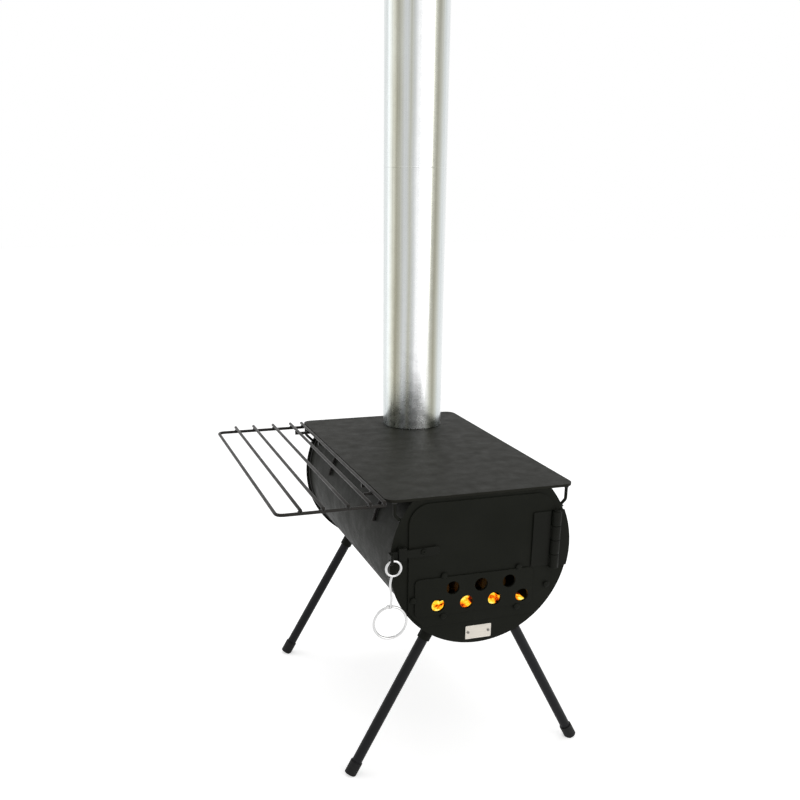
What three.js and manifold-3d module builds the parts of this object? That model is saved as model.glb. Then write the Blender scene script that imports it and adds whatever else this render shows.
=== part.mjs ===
// A cylinder tent stove: a steel barrel between two round end plates under a flat cooking
// plate, with a hinged fire door and a draft slide in front, four pull-out legs, a wire shelf
// on its left side and a flue pipe in two sections.
//
// Millimetres, +Z up. X runs to the right across the stove and Y from its front to its back.
// The pieces are placed from the barrel's axis (X and Z) and the cooking plate's front edge (Y).
import * as THREE from 'three';
import { mergeVertices } from 'three/addons/utils/BufferGeometryUtils.js';
import Module from 'manifold-3d';

const wasm = await Module();
wasm.setup();

// ---------------------------------------------------------------- driving sizes

// Fits
const SEAT_GAP = 0.3; // between pieces that touch
const RUNNING_GAP = 0.3; // round a shank or rod in its hole
const HINGE_GAP = 0.1; // round the hinge pin
const SWING_GAP = 0.6; // round a turning knuckle

// Cooking plate and barrel
const COOKING_HEIGHT = 559; // floor to the top of the plate
const PLATE_WIDTH = 356;
const PLATE_DEPTH = 610;
const PLATE_THICKNESS = 4.8;
const PLATE_CORNER_RADIUS = 20;
const PLATE_REAR_OVERHANG = 4;
const BARREL_RADIUS = 164.9;
const BARREL_WALL = 2.4;
const BARREL_FLAT_DEPTH = 53; // how far below its crown the barrel is cut for the plate
const END_PLATE_LIP = 7.9; // how far the end plates stand out from the barrel
const END_PLATE_THICKNESS = 3;

// Flue
const FLUE_WALL_CLEARANCE = 2.8; // flue collar to the inside of the barrel
const FLUE_REAR_SETBACK = 86; // flue centre to the plate's rear edge
const COLLAR_WALL = 2.5;
const COLLAR_DEPTH = 35;
const PIPE_RADIUS = 63.5;
const PIPE_WALL = 0.7;
const PIPE_SECTION_LENGTH = 558;
const PIPE_CRIMP_LENGTH = 38;
const PIPE_CRIMP_CLEARANCE = 0.4;
const PIPE_BEAD = 0.8;
const PIPE_BEAD_HEIGHT = 5;

// Fire grate
const GRATE_THICKNESS = 4;
const GRATE_ASH_DEPTH = 40.5;
const GRATE_LENGTH = 560;
const GRATE_FRONT_GAP = 8;
const GRATE_SLOT_WIDTH = 16;
const GRATE_SLOT_PITCH = 42;
const GRATE_SLOT_MARGIN = 22;

// Door
const DOOR_THICKNESS = 3;
const DOOR_SIDE_MARGIN = 33.8; // end plate rim to the door's side
const DOOR_TOP_MARGIN = 5.9; // cooking plate to the door's top
const DOOR_BOTTOM_MARGIN = 47; // end plate rim to the door's bottom
const DOOR_RIM_MARGIN = 5.8; // end plate rim to the door's lower corners
const DOOR_CORNER_RADIUS = 38;
const DOOR_OVERLAP = 8; // how far the door laps over the mouth's edge

// Door hinge
const HINGE_OFFSET = 2; // pin axis outside the door's side
const HINGE_TOP_DROP = 35; // below the door's top
const HINGE_BOTTOM_DROP = 4.5; // below the draft slide's top
const KNUCKLE_COUNT = 4;
const KNUCKLE_GAP = 0.8; // between one knuckle and the next
const KNUCKLE_RADIUS = 8.7;
const KNUCKLE_STANDOFF = 0.8;
const HINGE_PIN_RADIUS = 4.8;
const HINGE_PIN_HEAD = 1.2; // how far the head stands out from the pin
const HINGE_PIN_HEAD_HEIGHT = 2;
const HINGE_LEAF_THICKNESS = 3;
const DOOR_LEAF_WIDTH = 44;
const FRAME_LEAF_OVERHANG = 1.2; // past the end plate's rim

// Draft slide and its bolts
const DRAFT_THICKNESS = 2.5;
const DRAFT_HOLE_RADIUS = 12.7;
const DRAFT_LOWER_HOLES = 4;
const DRAFT_UPPER_HOLES = 3;
const DRAFT_ROW_HEIGHT = 39.3; // door's bottom to the lower row
const DRAFT_ROW_SPACING = 31.2;
const DRAFT_TOP_MARGIN = 22.4; // upper row to the slide's top edge
const DRAFT_BOTTOM_MARGIN = 18;
const DRAFT_END_MARGIN = 19; // last hole's centre to the slide's right edge
const DRAFT_OVERTRAVEL = 0.4; // travel past the holes' full width
const DRAFT_CORNER_RADIUS = 9;
const STOP_BOLT_INSET = 8.5; // from the door's side
const GUIDE_BOLT_INSET = 58; // from the stop bolts
const BOLT_RADIUS = 3;
const BOLT_HEAD_RADIUS = 5.8;
const BOLT_HEAD_HEIGHT = 3;

// Latch
const LATCH_THICKNESS = 4.8;
const LATCH_PIVOT_INSET = 25.5; // from the door's left side
const LATCH_PIVOT_HEIGHT = 21.3; // above the barrel's axis
const LATCH_REACH = 64; // pivot to the left end
const LATCH_TAIL = 30.5; // pivot to the right end
const LATCH_REACH_HEIGHT = 12.6;
const LATCH_TAIL_HEIGHT = 16.2;
const LATCH_BOTTOM_DROP = 9; // pivot down to the lower edge
const LATCH_NUT_RADIUS = 6;
const LATCH_NUT_HEIGHT = 4.5;
const LATCH_BOLT_TAIL = 1.5; // thread showing past the nut
const LUG_HOLE_RADIUS = 4.4;
const LUG_HOLE_WALL = 2.6;
const LUG_HOLE_STANDOFF = 6.6; // latch bar's face to the hole's centre
const LUG_HOLE_DROP = 9.9; // pivot down to the hole's centre
const KEEPER_WIDTH = 14.2;
const KEEPER_THICKNESS = 3;
const KEEPER_OFFSET = 13.5; // keeper's middle outside the door's side
const KEEPER_LIP_HEIGHT = 19.7; // above the latch's lower edge
const KEEPER_GAP = 0.4; // lip to the latch bar's face

// Wire pull
const PULL_WIRE_RADIUS = 2.45;
const PULL_EYE_RADIUS = 13.55; // to the middle of the wire
const PULL_EYE_SHIFT = 4.7; // eye's middle to the right of the lug
const PULL_STEM_SHIFT = 1.5; // stem's top to the right of the lug
const PULL_STEM_LENGTH = 58;
const PULL_RING_RADIUS = 30.2;
const PULL_WRAP_RADIUS = 4.1;
const PULL_WRAP_LENGTH = 14;

// Nameplate
const NAMEPLATE_WIDTH = 51;
const NAMEPLATE_HEIGHT = 26.5;
const NAMEPLATE_THICKNESS = 1;
const NAMEPLATE_RISE = 21.8; // end plate's rim to the nameplate's middle
const NAMEPLATE_CORNER_RADIUS = 2;
const NAMEPLATE_RIVET_INSET = 5.5;
const RIVET_RADIUS = 1.4;
const RIVET_HEAD_RADIUS = 2.4;
const RIVET_HEAD_HEIGHT = 1.1;

// Legs
const LEG_RADIUS = 10;
const LEG_WALL = 1.6;
const LEG_SPLAY = 28.3; // degrees from the vertical, seen from the front
const REAR_LEG_LEAN = 6.1; // degrees backwards
const FRONT_SOCKET_SETBACK = 42; // from the plate's front edge
const REAR_SOCKET_SETBACK = 42; // from the plate's rear edge
const SOCKET_WALL = 2.1;
const SOCKET_LENGTH = 30;
const SOCKET_ROOT = 6; // length of tube trimmed away by the barrel
const CAP_WALL = 1.7;
const CAP_LENGTH = 28;
const CAP_FLOOR = 4;
const CAP_FLAT = 3; // how much of the cap's low edge is cut flat on the floor

// Corner braces
const BRACE_RADIUS = 3;
const BRACE_SETBACK = 4.5; // from the plate's front and rear edges
const FRONT_BRACE_INSET = 15; // from the plate's side
const REAR_BRACE_INSET = 6;
const BRACE_DROP = 24;
const BRACE_FOOT = 34; // length of foot before the end plate's rim trims it
const BRACE_BEND_RADIUS = 7;

// Side shelf
const SHELF_ROD_RADIUS = 3;
const SHELF_REACH = 190; // plate's side to the outer rod
const SHELF_BAR_PLACES = [4, 29, 68, 111, 150]; // plate's side to each bar
const SHELF_FRONT_SETBACK = 3.4;
const SHELF_REAR_SETBACK = 21;
const SHELF_BAR_OVERHANG = 14; // behind the rear cross rod
const SHELF_CORNER_RADIUS = 14;
const SHELF_BAR_DROP = 2.4; // plate's top to the bars' middle
const SHELF_END_GAP = 1; // cross rods to the plate's side
const FRONT_ARM_SETBACK = 76; // from the plate's front edge
const REAR_ARM_SETBACK = 72; // from the plate's rear edge
const FRONT_ARM_REACH = 19; // outwards from the plate's side
const REAR_ARM_REACH = 33;
const ARM_END_GAP = 10.4; // arms' inner ends to the barrel
const FRONT_HOOK_SETBACK = 126;
const REAR_HOOK_SETBACK = 174;
const HOOK_REACH = 8; // outwards from the plate's side
const HOOK_DROP = 77; // plate's top to the hooks' lower ends
const HOOK_BEND_RADIUS = 8;
const STAPLE_LENGTH = 20;
const STAPLE_INSET = 6; // from the plate's side
const STAPLE_THICKNESS = 2;

// Roundness
const LARGE_SIDES = 96;
const PIPE_SIDES = 48;
const TUBE_SIDES = 20;
const ROD_SIDES = 10;
const BOLT_SIDES = 16;
const HOLE_SIDES = 24;
const DOME_STEPS = 2;
const BEND_STEPS = 6;
const CORNER_STEPS = 6;

// ---------------------------------------------------------------- sizes worked out

const endPlateRadius = BARREL_RADIUS + END_PLATE_LIP;
const barrelBore = BARREL_RADIUS - BARREL_WALL;
const plateUnderside = BARREL_RADIUS - BARREL_FLAT_DEPTH;
const plateTop = plateUnderside + PLATE_THICKNESS;
const flatTop = plateUnderside - SEAT_GAP; // top of everything cut flat under the plate
const plateSide = PLATE_WIDTH / 2;
const floorHeight = plateTop - COOKING_HEIGHT;
const barrelFront = END_PLATE_THICKNESS + SEAT_GAP;
const rearPlateFront = PLATE_DEPTH - PLATE_REAR_OVERHANG - END_PLATE_THICKNESS;

const crimpRadius = PIPE_RADIUS - PIPE_WALL - PIPE_CRIMP_CLEARANCE;
const flueBore = crimpRadius + PIPE_CRIMP_CLEARANCE;
const collarRadius = flueBore + COLLAR_WALL;
const flueX = Math.sqrt(barrelBore ** 2 - flatTop ** 2) - collarRadius - FLUE_WALL_CLEARANCE;
const flueY = PLATE_DEPTH - FLUE_REAR_SETBACK;

const doorSide = endPlateRadius - DOOR_SIDE_MARGIN;
const doorTop = plateUnderside - DOOR_TOP_MARGIN;
const doorBottom = DOOR_BOTTOM_MARGIN - endPlateRadius;
const doorBack = -SEAT_GAP;
const doorFront = doorBack - DOOR_THICKNESS;

const stopBoltX = doorSide - STOP_BOLT_INSET;
const draftTravel = 2 * DRAFT_HOLE_RADIUS + DRAFT_OVERTRAVEL;
const draftLeft = -stopBoltX + BOLT_RADIUS + RUNNING_GAP;
const draftRight = -draftLeft - draftTravel;
const draftPitch = (draftRight - DRAFT_END_MARGIN) / ((DRAFT_LOWER_HOLES - 1) / 2);
const lowerRow = doorBottom + DRAFT_ROW_HEIGHT;
const upperRow = lowerRow + DRAFT_ROW_SPACING;
const draftTop = upperRow + DRAFT_TOP_MARGIN;
const draftBottom = lowerRow - DRAFT_BOTTOM_MARGIN;
const draftBack = doorFront - SEAT_GAP;
const draftFront = draftBack - DRAFT_THICKNESS;

const hingeX = doorSide + HINGE_OFFSET;
const hingeY = -(KNUCKLE_RADIUS + KNUCKLE_STANDOFF);
const hingeTop = doorTop - HINGE_TOP_DROP;
const hingeBottom = draftTop - HINGE_BOTTOM_DROP;
const knucklePitch = (hingeTop - hingeBottom) / KNUCKLE_COUNT;

const latchX = -doorSide + LATCH_PIVOT_INSET;
const latchBack = doorFront - SEAT_GAP;
const latchFront = latchBack - LATCH_THICKNESS;
const latchBottom = LATCH_PIVOT_HEIGHT - LATCH_BOTTOM_DROP;
const lugX = latchX - LATCH_REACH + LATCH_THICKNESS / 2;
const lugHoleY = latchFront - LUG_HOLE_STANDOFF;
const lugHoleZ = LATCH_PIVOT_HEIGHT - LUG_HOLE_DROP;

const shelfSide = -plateSide;
const barHeight = plateTop - SHELF_BAR_DROP;
const crossHeight = barHeight - 2 * SHELF_ROD_RADIUS - SEAT_GAP;
const shelfRear = PLATE_DEPTH - SHELF_REAR_SETBACK;

// ---------------------------------------------------------------- materials

function material(color, roughness, metalness) {
  return new THREE.MeshStandardMaterial({ color, roughness, metalness });
}

const stovePaint = material(0x2b2b2a, 0.55, 0.3);
const platePaint = material(0x3b3b39, 0.5, 0.3);
const legPaint = material(0x303030, 0.5, 0.3);
const galvanised = material(0xb9bcba, 0.3, 0.9);
const brightWire = material(0xd8d8d6, 0.2, 1);
const badgeMetal = material(0xc9c6c0, 0.35, 0.9);
const grateIron = material(0x3a3532, 0.8, 0.5);
const footRubber = material(0x1c1c1c, 0.85, 0);

// ---------------------------------------------------------------- outlines

const radians = THREE.MathUtils.degToRad;

function arc(radius, from, to, steps, x = 0, y = 0) {
  const points = [];
  for (let i = 0; i <= steps; i += 1) {
    const angle = from + ((to - from) * i) / steps;
    points.push(new THREE.Vector2(x + radius * Math.cos(angle), y + radius * Math.sin(angle)));
  }
  return points;
}

function circle(radius, sides, x = 0, y = 0) {
  return arc(radius, 0, 2 * Math.PI, sides, x, y).slice(0, sides);
}

// A round hole whose flat sides, not its corners, keep the radius
function bore(radius, sides, x = 0, y = 0) {
  return circle(radius / Math.cos(Math.PI / sides), sides, x, y);
}

function outline(points, holes = []) {
  const shape = new THREE.Shape(points);
  for (const hole of holes) {
    shape.holes.push(new THREE.Path(hole));
  }
  return shape;
}

function rectangle(left, right, bottom, top) {
  return [[left, bottom], [right, bottom], [right, top], [left, top]].map(
    ([x, y]) => new THREE.Vector2(x, y),
  );
}

function roundedBox(left, right, bottom, top, radius) {
  const quarter = Math.PI / 2;
  return [
    ...arc(radius, -quarter, 0, CORNER_STEPS, right - radius, bottom + radius),
    ...arc(radius, 0, quarter, CORNER_STEPS, right - radius, top - radius),
    ...arc(radius, quarter, 2 * quarter, CORNER_STEPS, left + radius, top - radius),
    ...arc(radius, 2 * quarter, 3 * quarter, CORNER_STEPS, left + radius, bottom + radius),
  ];
}

// ---------------------------------------------------------------- solids from outlines

// An X-Z outline, given thickness from yFront to yBack
function slab(shape, yFront, yBack) {
  const geometry = new THREE.ExtrudeGeometry(shape, { depth: yBack - yFront, bevelEnabled: false });
  return geometry.translate(0, 0, -yBack).rotateX(Math.PI / 2);
}

// An X-Y outline, raised from zLow to zHigh
function column(shape, zLow, zHigh) {
  const geometry = new THREE.ExtrudeGeometry(shape, { depth: zHigh - zLow, bevelEnabled: false });
  return geometry.translate(0, 0, zLow);
}

// A Y-Z outline, drawn out from xLow to xHigh
function bar(shape, xLow, xHigh) {
  const geometry = new THREE.ExtrudeGeometry(shape, { depth: xHigh - xLow, bevelEnabled: false });
  const turn = new THREE.Matrix4().makeBasis(
    new THREE.Vector3(0, 1, 0),
    new THREE.Vector3(0, 0, 1),
    new THREE.Vector3(1, 0, 0),
  );
  return geometry.translate(0, 0, xLow).applyMatrix4(turn);
}

// A profile of [radius, height] pairs, listed up its outside, turned about the Z axis
function turned(profile, sides) {
  const points = profile.map(([radius, height]) => new THREE.Vector2(radius, height));
  return new THREE.LatheGeometry(points, sides).rotateX(Math.PI / 2);
}

// Turns a geometry made along +Z to point along a direction, and moves it to a place
function aimed(geometry, place, direction) {
  const turn = new THREE.Quaternion().setFromUnitVectors(new THREE.Vector3(0, 0, 1), direction);
  return geometry.applyQuaternion(turn).translate(place.x, place.y, place.z);
}

// A round bolt or rivet along +Z: its shank below z = 0 and its domed head above
function headed(shankRadius, shankLength, headRadius, headHeight) {
  const dome = [];
  for (let i = 0; i <= DOME_STEPS; i += 1) {
    const angle = (Math.PI / 2) * (i / DOME_STEPS);
    dome.push([headRadius * Math.cos(angle), headHeight * (0.4 + 0.6 * Math.sin(angle))]);
  }
  dome[DOME_STEPS][0] = 0;
  return turned(
    [[0, -shankLength], [shankRadius, -shankLength], [shankRadius, 0], [headRadius, 0], ...dome],
    BOLT_SIDES,
  );
}

// A headed bolt that enters the stove's front from a face at y
function frontBolt(x, y, z, shankLength, shank = BOLT_RADIUS, head = BOLT_HEAD_RADIUS) {
  const height = head === BOLT_HEAD_RADIUS ? BOLT_HEAD_HEIGHT : RIVET_HEAD_HEIGHT;
  return headed(shank, shankLength, head, height).rotateX(Math.PI / 2).translate(x, y, z);
}

// ---------------------------------------------------------------- bent rods

// A centre line that runs through a list of points, one step from each to the next
class CentreLine extends THREE.Curve {
  constructor(points) {
    super();
    this.points = points;
  }

  getPoint(t) {
    return this.points[Math.round(t * (this.points.length - 1))].clone();
  }

  getPointAt(u) {
    return this.getPoint(u);
  }

  getTangentAt(u) {
    const last = this.points.length - 1;
    const i = Math.round(u * last);
    const before = this.points[Math.max(i - 1, 0)];
    const after = this.points[Math.min(i + 1, last)];
    const here = this.points[i];
    const arriving = here.clone().sub(before).normalize();
    const leaving = after.clone().sub(here).normalize();
    return arriving.add(leaving).normalize();
  }
}

// The corners of a path, each inner one rounded to a bend radius
function rounded(corners, bendRadius) {
  const points = [corners[0]];
  for (let i = 1; i < corners.length - 1; i += 1) {
    const corner = corners[i];
    const back = corners[i - 1].clone().sub(corner).normalize();
    const ahead = corners[i + 1].clone().sub(corner).normalize();
    const half = back.angleTo(ahead) / 2;
    const middle = back.clone().add(ahead).normalize();
    const centre = corner.clone().addScaledVector(middle, bendRadius / Math.sin(half));
    const axis = back.clone().cross(ahead).normalize();
    const arm = corner.clone().addScaledVector(back, bendRadius / Math.tan(half)).sub(centre);
    for (let step = 0; step <= BEND_STEPS; step += 1) {
      const turn = -((Math.PI - 2 * half) * step) / BEND_STEPS;
      points.push(arm.clone().applyAxisAngle(axis, turn).add(centre));
    }
  }
  points.push(corners[corners.length - 1]);
  return points;
}

function rod(points, radius, sides = ROD_SIDES) {
  return new THREE.ExtrudeGeometry(outline(circle(radius, sides)), {
    steps: points.length - 1,
    extrudePath: new CentreLine(points),
    bevelEnabled: false,
  });
}

const at = (x, y, z) => new THREE.Vector3(x, y, z);

// ---------------------------------------------------------------- joining and cutting

function toSolid(geometry) {
  const bare = geometry.clone();
  bare.deleteAttribute('normal');
  bare.deleteAttribute('uv');
  const merged = mergeVertices(bare, 1e-4);
  const index = merged.index.array;
  const triangles = [];
  for (let i = 0; i < index.length; i += 3) {
    const [a, b, c] = [index[i], index[i + 1], index[i + 2]];
    if (a !== b && b !== c && c !== a) {
      triangles.push(a, b, c);
    }
  }
  return new wasm.Manifold(new wasm.Mesh({
    numProp: 3,
    vertProperties: new Float32Array(merged.attributes.position.array),
    triVerts: new Uint32Array(triangles),
  }));
}

function toGeometry(solid) {
  const { vertProperties, triVerts } = solid.getMesh();
  const geometry = new THREE.BufferGeometry();
  geometry.setAttribute('position', new THREE.BufferAttribute(vertProperties, 3));
  geometry.setIndex(new THREE.BufferAttribute(triVerts, 1));
  geometry.computeVertexNormals();
  return geometry;
}

function joined(...geometries) {
  const [first, ...others] = geometries.map(toSolid);
  return toGeometry(others.reduce((whole, solid) => whole.add(solid), first));
}

function cut(geometry, ...cutters) {
  const solids = cutters.map(toSolid);
  return toGeometry(solids.reduce((rest, cutter) => rest.subtract(cutter), toSolid(geometry)));
}

// ---------------------------------------------------------------- assembly

const stove = new THREE.Group();

function add(name, geometry, finish) {
  const mesh = new THREE.Mesh(geometry, finish);
  mesh.name = name;
  stove.add(mesh);
}

// The part of a circle about the barrel's axis that lies below the cooking plate
function underPlate(radius) {
  const shoulder = Math.asin(flatTop / radius);
  return arc(radius, Math.PI - shoulder, 2 * Math.PI + shoulder, LARGE_SIDES);
}

// The door's outline, drawn in by an inset. Its lower corners run along the end plate's rim.
function doorOutline(inset) {
  const side = doorSide - inset;
  const top = doorTop - inset;
  const bottom = doorBottom + inset;
  const corner = DOOR_CORNER_RADIUS - inset;
  const sweep = endPlateRadius - DOOR_RIM_MARGIN - inset;
  const sideAngle = -Math.acos(side / sweep);
  const bottomAngle = Math.asin(bottom / sweep);
  const quarter = Math.PI / 2;
  return [
    ...arc(sweep, bottomAngle, sideAngle, CORNER_STEPS),
    ...arc(corner, 0, quarter, 2 * CORNER_STEPS, side - corner, top - corner),
    ...arc(corner, quarter, 2 * quarter, 2 * CORNER_STEPS, corner - side, top - corner),
    ...arc(sweep, -Math.PI - sideAngle, -Math.PI - bottomAngle, CORNER_STEPS),
  ];
}

const nameplateZ = NAMEPLATE_RISE - endPlateRadius;
const rivetX = NAMEPLATE_WIDTH / 2 - NAMEPLATE_RIVET_INSET;

function addBody() {
  const wall = outline([...underPlate(BARREL_RADIUS), ...underPlate(barrelBore).reverse()]);
  add('barrel_shell', slab(wall, barrelFront, rearPlateFront - SEAT_GAP), stovePaint);

  const rivetHoles = [-rivetX, rivetX].map(
    (x) => bore(RIVET_RADIUS + RUNNING_GAP, ROD_SIDES, x, nameplateZ),
  );
  const front = outline(underPlate(endPlateRadius), [doorOutline(DOOR_OVERLAP), ...rivetHoles]);
  add('front_end_plate', slab(front, 0, END_PLATE_THICKNESS), stovePaint);
  const rear = outline(underPlate(endPlateRadius));
  const rearPlateBack = rearPlateFront + END_PLATE_THICKNESS;
  add('rear_end_plate', slab(rear, rearPlateFront, rearPlateBack), stovePaint);

  const plate = outline(
    roundedBox(-plateSide, plateSide, 0, PLATE_DEPTH, PLATE_CORNER_RADIUS),
    [bore(flueBore, PIPE_SIDES, flueX, flueY)],
  );
  add('cooking_plate', column(plate, plateUnderside, plateTop), platePaint);
}

function addGrate() {
  const bottom = GRATE_ASH_DEPTH - barrelBore;
  const half = Math.sqrt((barrelBore - SEAT_GAP) ** 2 - bottom ** 2);
  const front = END_PLATE_THICKNESS + GRATE_FRONT_GAP;
  const count = Math.floor((GRATE_LENGTH - GRATE_SLOT_PITCH) / GRATE_SLOT_PITCH) + 1;
  const firstSlot = front + (GRATE_LENGTH - (count - 1) * GRATE_SLOT_PITCH) / 2;
  const inner = half - GRATE_SLOT_MARGIN;
  const slots = [];
  for (let i = 0; i < count; i += 1) {
    const y = firstSlot + i * GRATE_SLOT_PITCH;
    slots.push(rectangle(-inner, inner, y - GRATE_SLOT_WIDTH / 2, y + GRATE_SLOT_WIDTH / 2));
  }
  const edge = rectangle(-half, half, front, front + GRATE_LENGTH);
  add('fire_grate', column(outline(edge, slots), bottom, bottom + GRATE_THICKNESS), grateIron);
}

function addFlue() {
  const collar = outline(
    circle(collarRadius, PIPE_SIDES, flueX, flueY),
    [bore(flueBore, PIPE_SIDES, flueX, flueY)],
  );
  add('flue_collar', column(collar, flatTop - COLLAR_DEPTH, flatTop), stovePaint);

  // One pipe section, its shoulder at z = 0 and its crimped end hanging below
  const bodyLength = PIPE_SECTION_LENGTH - PIPE_CRIMP_LENGTH;
  const innerRadius = PIPE_RADIUS - PIPE_WALL;
  const profile = [
    [crimpRadius, -PIPE_CRIMP_LENGTH],
    [crimpRadius, 0],
    [PIPE_RADIUS, 0],
    [PIPE_RADIUS + PIPE_BEAD, PIPE_BEAD_HEIGHT / 2],
    [PIPE_RADIUS, PIPE_BEAD_HEIGHT],
    [PIPE_RADIUS, bodyLength],
    [innerRadius, bodyLength],
    [innerRadius, PIPE_BEAD_HEIGHT],
    [crimpRadius - PIPE_WALL, -PIPE_WALL],
    [crimpRadius - PIPE_WALL, -PIPE_CRIMP_LENGTH],
    [crimpRadius, -PIPE_CRIMP_LENGTH],
  ];
  let shoulder = plateTop + SEAT_GAP;
  for (const name of ['lower_pipe', 'upper_pipe']) {
    add(name, turned(profile, PIPE_SIDES).translate(flueX, flueY, shoulder), galvanised);
    shoulder += bodyLength + SEAT_GAP;
  }
}

function addNameplate() {
  const back = -SEAT_GAP;
  const half = NAMEPLATE_WIDTH / 2;
  const holes = [-rivetX, rivetX].map(
    (x) => bore(RIVET_RADIUS + RUNNING_GAP, ROD_SIDES, x, nameplateZ),
  );
  const badge = outline(
    roundedBox(
      -half, half,
      nameplateZ - NAMEPLATE_HEIGHT / 2, nameplateZ + NAMEPLATE_HEIGHT / 2,
      NAMEPLATE_CORNER_RADIUS,
    ),
    holes,
  );
  add('nameplate', slab(badge, back - NAMEPLATE_THICKNESS, back), badgeMetal);
  const headFace = back - NAMEPLATE_THICKNESS - SEAT_GAP;
  const length = END_PLATE_THICKNESS - headFace;
  for (const [side, x] of [['left', -rivetX], ['right', rivetX]]) {
    const rivet = frontBolt(x, headFace, nameplateZ, length, RIVET_RADIUS, RIVET_HEAD_RADIUS);
    add(`nameplate_rivet_${side}`, rivet, badgeMetal);
  }
}

// ---------------------------------------------------------------- door, hinge and draft

const guideBoltX = stopBoltX - GUIDE_BOLT_INSET;
const guideReach = BOLT_RADIUS + RUNNING_GAP;
const draftBolts = [
  ['guide_bolt_upper_left', -guideBoltX, draftTop + guideReach],
  ['guide_bolt_upper_right', guideBoltX, draftTop + guideReach],
  ['guide_bolt_lower_left', -guideBoltX, draftBottom - guideReach],
  ['guide_bolt_lower_right', guideBoltX, draftBottom - guideReach],
  ['stop_bolt_left', -stopBoltX, (upperRow + lowerRow) / 2],
  ['stop_bolt_right', stopBoltX, (upperRow + lowerRow) / 2],
];

function draftHoles() {
  const holes = [];
  for (const [count, z] of [[DRAFT_LOWER_HOLES, lowerRow], [DRAFT_UPPER_HOLES, upperRow]]) {
    for (let i = 0; i < count; i += 1) {
      const x = (i - (count - 1) / 2) * draftPitch;
      holes.push(circle(DRAFT_HOLE_RADIUS, HOLE_SIDES, x, z));
    }
  }
  return holes;
}

// Cuts the room in which the hinge's knuckles turn
function knuckleRoom(zLow, zHigh) {
  const round = outline(bore(KNUCKLE_RADIUS + SWING_GAP, TUBE_SIDES, hingeX, hingeY));
  return column(round, zLow - KNUCKLE_GAP / 2, zHigh + KNUCKLE_GAP / 2);
}

function knuckle(zLow, zHigh) {
  const round = outline(circle(KNUCKLE_RADIUS, TUBE_SIDES, hingeX, hingeY));
  return column(round, zLow + KNUCKLE_GAP / 2, zHigh - KNUCKLE_GAP / 2);
}

function hingePinHole() {
  const round = outline(bore(HINGE_PIN_RADIUS + HINGE_GAP, TUBE_SIDES, hingeX, hingeY));
  return column(round, hingeBottom - KNUCKLE_RADIUS, hingeTop + KNUCKLE_RADIUS);
}

// A hinge leaf with every second knuckle, counted from the top
function hingeLeaf(leaf, firstKnuckle) {
  const own = [];
  const rooms = [];
  for (let i = 0; i < KNUCKLE_COUNT; i += 1) {
    const zHigh = hingeTop - i * knucklePitch;
    const zLow = zHigh - knucklePitch;
    if (i % 2 === firstKnuckle) {
      own.push(knuckle(zLow, zHigh));
    } else {
      rooms.push(knuckleRoom(zLow, zHigh));
    }
  }
  return cut(joined(cut(leaf, ...rooms), ...own), hingePinHole());
}

function addHinge() {
  const rim = endPlateRadius + FRAME_LEAF_OVERHANG;
  const frameLeaf = outline([
    new THREE.Vector2(hingeX, hingeTop),
    new THREE.Vector2(hingeX, hingeBottom),
    ...arc(rim, Math.asin(hingeBottom / rim), Math.asin(hingeTop / rim), CORNER_STEPS),
  ]);
  const frameLeafSolid = slab(frameLeaf, -SEAT_GAP - HINGE_LEAF_THICKNESS, -SEAT_GAP);
  add('frame_hinge_leaf', hingeLeaf(frameLeafSolid, 0), stovePaint);

  const leafBottom = draftTop + SWING_GAP;
  const leafFront = doorFront - SEAT_GAP - HINGE_LEAF_THICKNESS;
  const doorLeaf = outline(rectangle(hingeX - DOOR_LEAF_WIDTH, hingeX, leafBottom, hingeTop));
  const doorLeafSolid = slab(doorLeaf, leafFront, doorFront - SEAT_GAP);
  add('door_hinge_leaf', hingeLeaf(doorLeafSolid, 1), stovePaint);

  const length = hingeTop - hingeBottom + SEAT_GAP;
  const pinHead = HINGE_PIN_RADIUS + HINGE_PIN_HEAD;
  const pin = turned(
    [
      [0, -length],
      [HINGE_PIN_RADIUS, -length],
      [HINGE_PIN_RADIUS, 0],
      [pinHead, 0],
      [pinHead, HINGE_PIN_HEAD_HEIGHT],
      [0, HINGE_PIN_HEAD_HEIGHT],
    ],
    TUBE_SIDES,
  );
  add('hinge_pin', pin.translate(hingeX, hingeY, hingeTop + SEAT_GAP / 2), stovePaint);
}

function addDoor() {
  const boltHoles = draftBolts.map(([, x, z]) => bore(BOLT_RADIUS + RUNNING_GAP, BOLT_SIDES, x, z));
  const latchHole = bore(BOLT_RADIUS + RUNNING_GAP, BOLT_SIDES, latchX, LATCH_PIVOT_HEIGHT);
  const panel = outline(doorOutline(0), [...draftHoles(), ...boltHoles, latchHole]);
  add(
    'door_panel',
    cut(slab(panel, doorFront, doorBack), knuckleRoom(hingeBottom, hingeTop)),
    stovePaint,
  );

  const slide = roundedBox(draftLeft, draftRight, draftBottom, draftTop, DRAFT_CORNER_RADIUS);
  add('draft_slide', slab(outline(slide, draftHoles()), draftFront, draftBack), stovePaint);
  const headFace = draftFront - SEAT_GAP;
  for (const [name, x, z] of draftBolts) {
    add(name, frontBolt(x, headFace, z, doorBack - headFace), stovePaint);
  }
}

// ---------------------------------------------------------------- latch and wire pull

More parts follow.
